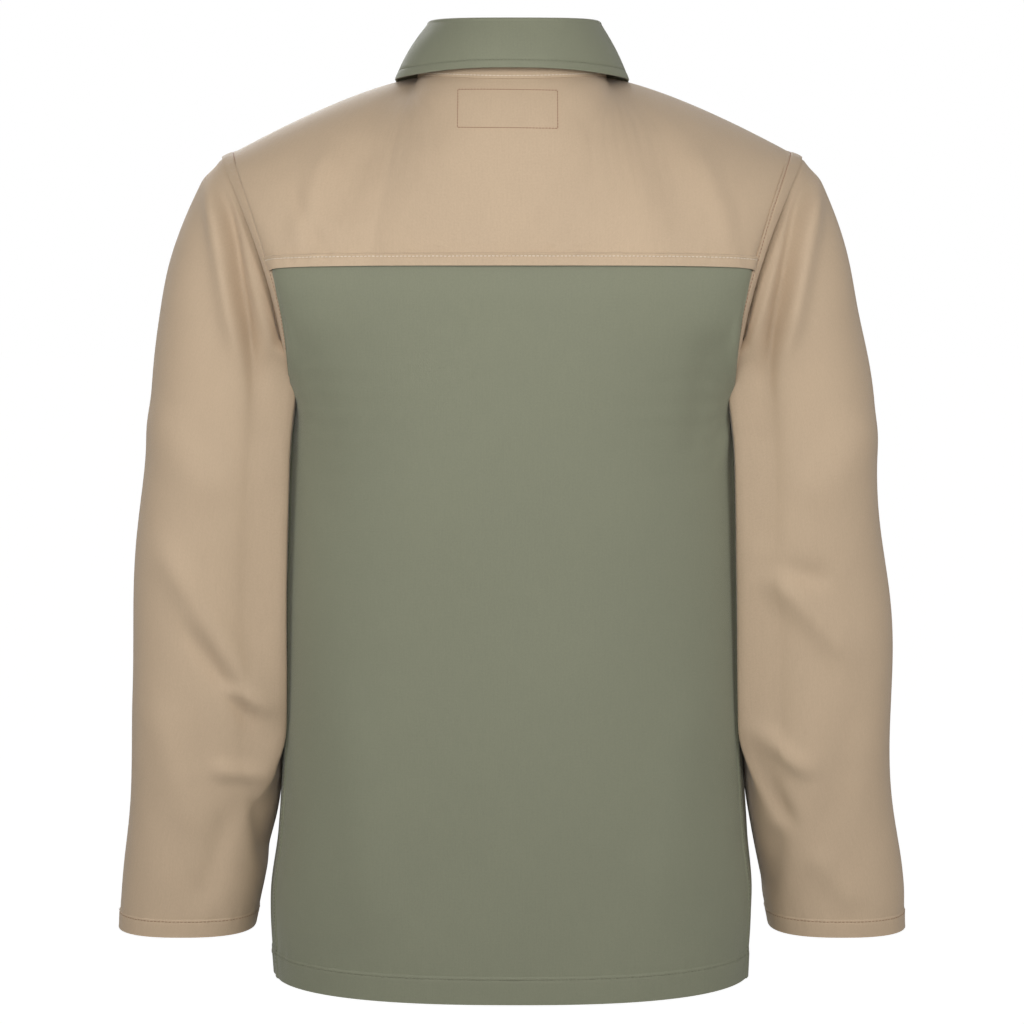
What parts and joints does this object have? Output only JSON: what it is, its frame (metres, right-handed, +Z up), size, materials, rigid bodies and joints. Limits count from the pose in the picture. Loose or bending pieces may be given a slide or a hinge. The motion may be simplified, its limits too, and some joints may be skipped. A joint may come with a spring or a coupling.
{
  "type": "beekeeping jacket",
  "caption": "Two-tone collared work jacket for beekeeping: shoulder yoke and long sleeves in one cloth, body in another, separable front zip, flap pockets.",
  "frame": {"origin": "at the base of the wearer's neck, on the middle plane, at the height where the yoke meets the collar: the neck and shoulders, or a hanger, carry the jacket there", "axes": "+Z up, the front faces -Y, +X is the wearer's left"},
  "size_m": [0.671, 0.2793, 0.8008],
  "materials": {
    "beige_twill": "matte cotton-rich twill",
    "green_twill": "matte cotton-rich twill",
    "zip_tape": "woven polyester tape",
    "zip_metal": "antique satin",
    "stud_metal": "antique satin",
    "label_cloth": "plain woven",
    "loop_tape": "woven tape"
  },
  "bodies": {
    "torso": {"back_panel": "green_twill", "back_yoke": "beige_twill", "left_side_panel": "green_twill", "right_side_panel": "green_twill", "left_front_yoke": "beige_twill", "right_front_yoke": "beige_twill", "left_armhole_binding": "beige_twill", "right_armhole_binding": "beige_twill", "collar_stand": "beige_twill", "top_collar": "green_twill", "under_collar": "green_twill", "neck_label": "label_cloth"},
    "loop": {"hanger_loop": "loop_tape"},
    "left_front": {"left_front_panel": "green_twill", "left_front_facing": "green_twill", "left_zip_tape": "zip_tape", "left_zip_teeth": "zip_metal", "left_top_stop": "zip_metal", "left_chest_pocket": "green_twill", "left_lower_pocket": "green_twill", "left_stud_post": "stud_metal", "zip_box": "zip_metal"},
    "right_front": {"right_front_panel": "green_twill", "right_front_facing": "green_twill", "right_zip_tape": "zip_tape", "right_zip_teeth": "zip_metal", "right_top_stop": "zip_metal", "right_chest_pocket": "green_twill", "right_lower_pocket": "green_twill", "right_stud_post": "stud_metal", "zip_pin": "zip_metal"},
    "left_flap": {"left_chest_flap": "beige_twill", "left_stud_cap": "stud_metal"},
    "right_flap": {"right_chest_flap": "beige_twill", "right_stud_cap": "stud_metal"},
    "slider": {"zip_slider": "zip_metal"},
    "pull": {"zip_pull": "zip_metal"},
    "left_arm": {"left_sleeve": "beige_twill"},
    "right_arm": {"right_sleeve": "beige_twill"}
  },
  "joints": [
    {"name": "left_front_open", "type": "hinge", "parent": "torso", "child": "left_front", "pos_m": [0.15, -0.103, -0.454], "axis": [0, 0, 1], "range_deg": [0, 25]},
    {"name": "right_front_open", "type": "hinge", "parent": "torso", "child": "right_front", "pos_m": [-0.15, -0.103, -0.454], "axis": [0, 0, -1], "range_deg": [0, 25]},
    {"name": "left_flap_lift", "type": "hinge", "parent": "left_front", "child": "left_flap", "pos_m": [0.082, -0.1172, -0.213], "axis": [-0.9938, -0.1108, 0], "range_deg": [0, 110]},
    {"name": "right_flap_lift", "type": "hinge", "parent": "right_front", "child": "right_flap", "pos_m": [-0.082, -0.1172, -0.213], "axis": [-0.9938, 0.1108, 0], "range_deg": [0, 110]},
    {"name": "zip_slide", "type": "slide", "parent": "left_front", "child": "slider", "axis": [0, 0.0538, 0.9986], "range_m": [0, 0.635]},
    {"name": "zip_pull_swing", "type": "hinge", "parent": "slider", "child": "pull", "pos_m": [0.0025, -0.14881, -0.73253], "axis": [-1, 0, 0], "range_deg": [0, 150]},
    {"name": "left_sleeve_raise", "type": "hinge", "parent": "torso", "child": "left_arm", "pos_m": [0.2425, -0.005, -0.0625], "axis": [0, -1, 0], "range_deg": [0, 50]},
    {"name": "right_sleeve_raise", "type": "hinge", "parent": "torso", "child": "right_arm", "pos_m": [-0.2425, -0.005, -0.0625], "axis": [0, 1, 0], "range_deg": [0, 50]},
    {"name": "hanger_loop_swing", "type": "hinge", "parent": "torso", "child": "loop", "pos_m": [0, 0.0683, -0.006], "axis": [-1, 0, 0], "range_deg": [0, 120]}
  ]
}
